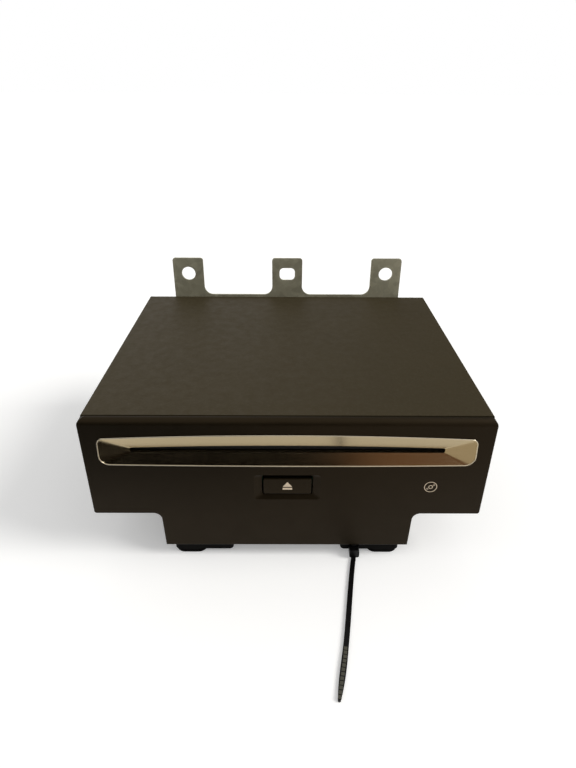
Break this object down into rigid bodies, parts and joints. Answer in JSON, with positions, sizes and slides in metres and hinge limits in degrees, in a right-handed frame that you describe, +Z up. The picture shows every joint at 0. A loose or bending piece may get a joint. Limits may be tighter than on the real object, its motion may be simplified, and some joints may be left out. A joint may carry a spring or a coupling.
{
  "type": "car cd changer",
  "caption": "Slot-loading car disc changer: flat steel casing, plastic front with a long metal-framed slot and eject key, lower electronics tray on feet, rear bracket with tabs.",
  "frame": {"origin": "on the floor under the feet, below the middle of the whole object", "axes": "+X to the right as the slot is faced, +Y from the slot to the back, +Z up"},
  "size_m": [0.1838, 0.2276, 0.106],
  "materials": {
    "cover_paint": "satin black-brown powder paint on folded steel",
    "bezel_plastic": "fine-grained moulded black plastic",
    "key_plastic": "moulded black key cap",
    "sign_print": "cream inlay",
    "trim_metal": "satin champagne metal frame",
    "zinc_steel": "zinc-plated steel sheet",
    "black_steel": "black painted steel sheet",
    "foot_plastic": "black moulded base",
    "foot_rubber": "soft black rubber",
    "tie_nylon": "black nylon",
    "felt": "black felt",
    "board": "green solder mask on glass-fibre board",
    "chip": "black moulded packages and sleeves",
    "connector_plastic": "black connector housing",
    "pin_brass": "plated contact pins",
    "cable_film": "pale flat-cable film",
    "bright_steel": "ground steel",
    "motor_can": "drawn and plated can",
    "gear_plastic": "natural acetal",
    "bush_brass": "sintered bronze",
    "black_moulding": "black acetal moulding",
    "sled_metal": "die-cast sled",
    "lens_glass": "objective lens in its holder",
    "damper_rubber": "oil-filled soft rubber",
    "roller_rubber": "loading roller rubber",
    "belt_rubber": "flat rubber belt"
  },
  "bodies": {
    "casing": {"top_cover": "cover_paint", "bottom_chassis": "zinc_steel", "front_bezel": "bezel_plastic", "slot_trim": "trim_metal", "disc_curtain": "felt", "eject_switch": "connector_plastic", "key_board": "board", "rear_bracket": "zinc_steel", "lower_tray": "black_steel", "main_board": "board", "board_components": "chip", "rear_connector": "connector_plastic", "connector_pins": "pin_brass", "ribbon_cable": "cable_film", "ribbon_sockets": "connector_plastic", "foot_bases": "foot_plastic", "rubber_feet": "foot_rubber", "cable_tie": "tie_nylon", "mech_frame": "zinc_steel", "dampers": "damper_rubber", "roller_bushes": "bush_brass", "load_motor": "motor_can", "upper_guide": "zinc_steel", "pivot_pins": "bright_steel", "traverse_deck": "zinc_steel", "spindle_motor": "motor_can", "guide_rods": "bright_steel", "rod_blocks": "black_moulding", "sled_motor": "motor_can", "rear_bridge": "zinc_steel", "clamp_pin": "bright_steel", "lift_bracket": "zinc_steel", "lift_motor": "motor_can", "lift_belt": "belt_rubber", "casing_screws": "bright_steel", "inner_screws": "bright_steel"},
    "button": {"eject_button": "key_plastic", "eject_symbol": "sign_print", "switch_plunger": "connector_plastic"},
    "roller": {"load_roller": "roller_rubber", "roller_shaft": "bright_steel", "roller_gear": "gear_plastic"},
    "idler": {"idler_gear": "gear_plastic"},
    "loading_pinion": {"load_pinion": "gear_plastic"},
    "spindle": {"turntable": "black_moulding", "turntable_pad": "roller_rubber"},
    "sled": {"pickup_sled": "sled_metal", "pickup_lens": "lens_glass"},
    "sled_screw": {"lead_screw": "bright_steel"},
    "clamp": {"clamp_arm": "zinc_steel"},
    "puck": {"clamp_puck": "black_moulding"},
    "stack": {"disc_trays": "black_moulding"},
    "lift_post_1": {"lift_screw_1": "bright_steel"},
    "lift_post_2": {"lift_screw_2": "bright_steel", "lift_gear": "gear_plastic"},
    "lift_post_3": {"lift_screw_3": "bright_steel"},
    "lift_post_4": {"lift_screw_4": "bright_steel"},
    "lift_drive": {"lift_pinion": "gear_plastic"},
    "lever_left": {"sensor_lever_left": "black_moulding"},
    "lever_right": {"sensor_lever_right": "black_moulding"}
  },
  "joints": [
    {"name": "eject_press", "type": "slide", "parent": "casing", "child": "button", "axis": [0, 1, 0], "range_m": [0, 0.0006], "stiffness_N_per_m": 800},
    {"name": "roller_spin", "type": "hinge", "parent": "casing", "child": "roller", "pos_m": [0, -0.021, 0.0587], "axis": [1, 0, 0], "continuous": true},
    {"name": "idler_spin", "type": "hinge", "parent": "casing", "child": "idler", "pos_m": [-0.0855, -0.01107, 0.0531], "axis": [1, 0, 0], "continuous": true},
    {"name": "loading_pinion_spin", "type": "hinge", "parent": "casing", "child": "loading_pinion", "pos_m": [-0.0855, -0.015, 0.045], "axis": [1, 0, 0], "continuous": true},
    {"name": "spindle_spin", "type": "hinge", "parent": "casing", "child": "spindle", "pos_m": [0, 0.043, 0.0627], "axis": [0, 0, 1], "continuous": true},
    {"name": "puck_spin", "type": "hinge", "parent": "clamp", "child": "puck", "pos_m": [0, 0.043, 0.067], "axis": [0, 0, 1], "continuous": true},
    {"name": "sled_slide", "type": "slide", "parent": "casing", "child": "sled", "axis": [1, 0, 0], "range_m": [0, 0.035]},
    {"name": "sled_screw_spin", "type": "hinge", "parent": "casing", "child": "sled_screw", "pos_m": [0.006, 0.0645, 0.0557], "axis": [1, 0, 0], "continuous": true},
    {"name": "clamp_lift", "type": "hinge", "parent": "casing", "child": "clamp", "pos_m": [0, 0.099, 0.069], "axis": [-1, 0, 0], "range_deg": [0, 4]},
    {"name": "stack_lift", "type": "slide", "parent": "casing", "child": "stack", "axis": [0, 0, 1], "range_m": [0, 0.005]},
    {"name": "lift_post_1_spin", "type": "hinge", "parent": "casing", "child": "lift_post_1", "pos_m": [-0.05362, -0.002, 0.0352], "axis": [0, 0, 1], "continuous": true},
    {"name": "lift_post_2_spin", "type": "hinge", "parent": "casing", "child": "lift_post_2", "pos_m": [-0.05362, 0.088, 0.0352], "axis": [0, 0, 1], "continuous": true},
    {"name": "lift_post_3_spin", "type": "hinge", "parent": "casing", "child": "lift_post_3", "pos_m": [0.05362, -0.002, 0.0352], "axis": [0, 0, 1], "continuous": true},
    {"name": "lift_post_4_spin", "type": "hinge", "parent": "casing", "child": "lift_post_4", "pos_m": [0.05362, 0.088, 0.0352], "axis": [0, 0, 1], "continuous": true},
    {"name": "lift_drive_spin", "type": "hinge", "parent": "casing", "child": "lift_drive", "pos_m": [-0.05992, 0.09891, 0.0332], "axis": [0, 0, 1], "continuous": true},
    {"name": "lever_left_swing", "type": "hinge", "parent": "casing", "child": "lever_left", "pos_m": [-0.052, -0.008, 0.0646], "axis": [0, 0, -1], "range_deg": [0, 20], "stiffness_Nm_per_rad": 0.005},
    {"name": "lever_right_swing", "type": "hinge", "parent": "casing", "child": "lever_right", "pos_m": [0.052, -0.008, 0.0646], "axis": [0, 0, 1], "range_deg": [0, 20], "stiffness_Nm_per_rad": 0.005}
  ],
  "couplings": [
    {"joint": "idler_spin", "follows": "roller_spin", "ratio": -1.1111},
    {"joint": "loading_pinion_spin", "follows": "roller_spin", "ratio": 1.6667},
    {"joint": "puck_spin", "follows": "spindle_spin", "ratio": 1},
    {"joint": "sled_screw_spin", "follows": "sled_slide", "rad_per_m": -2094.4},
    {"joint": "lift_post_1_spin", "follows": "stack_lift", "rad_per_m": -1047.2},
    {"joint": "lift_post_2_spin", "follows": "stack_lift", "rad_per_m": -1047.2},
    {"joint": "lift_post_3_spin", "follows": "stack_lift", "rad_per_m": -1047.2},
    {"joint": "lift_post_4_spin", "follows": "stack_lift", "rad_per_m": -1047.2},
    {"joint": "lift_drive_spin", "follows": "stack_lift", "rad_per_m": 2618}
  ]
}
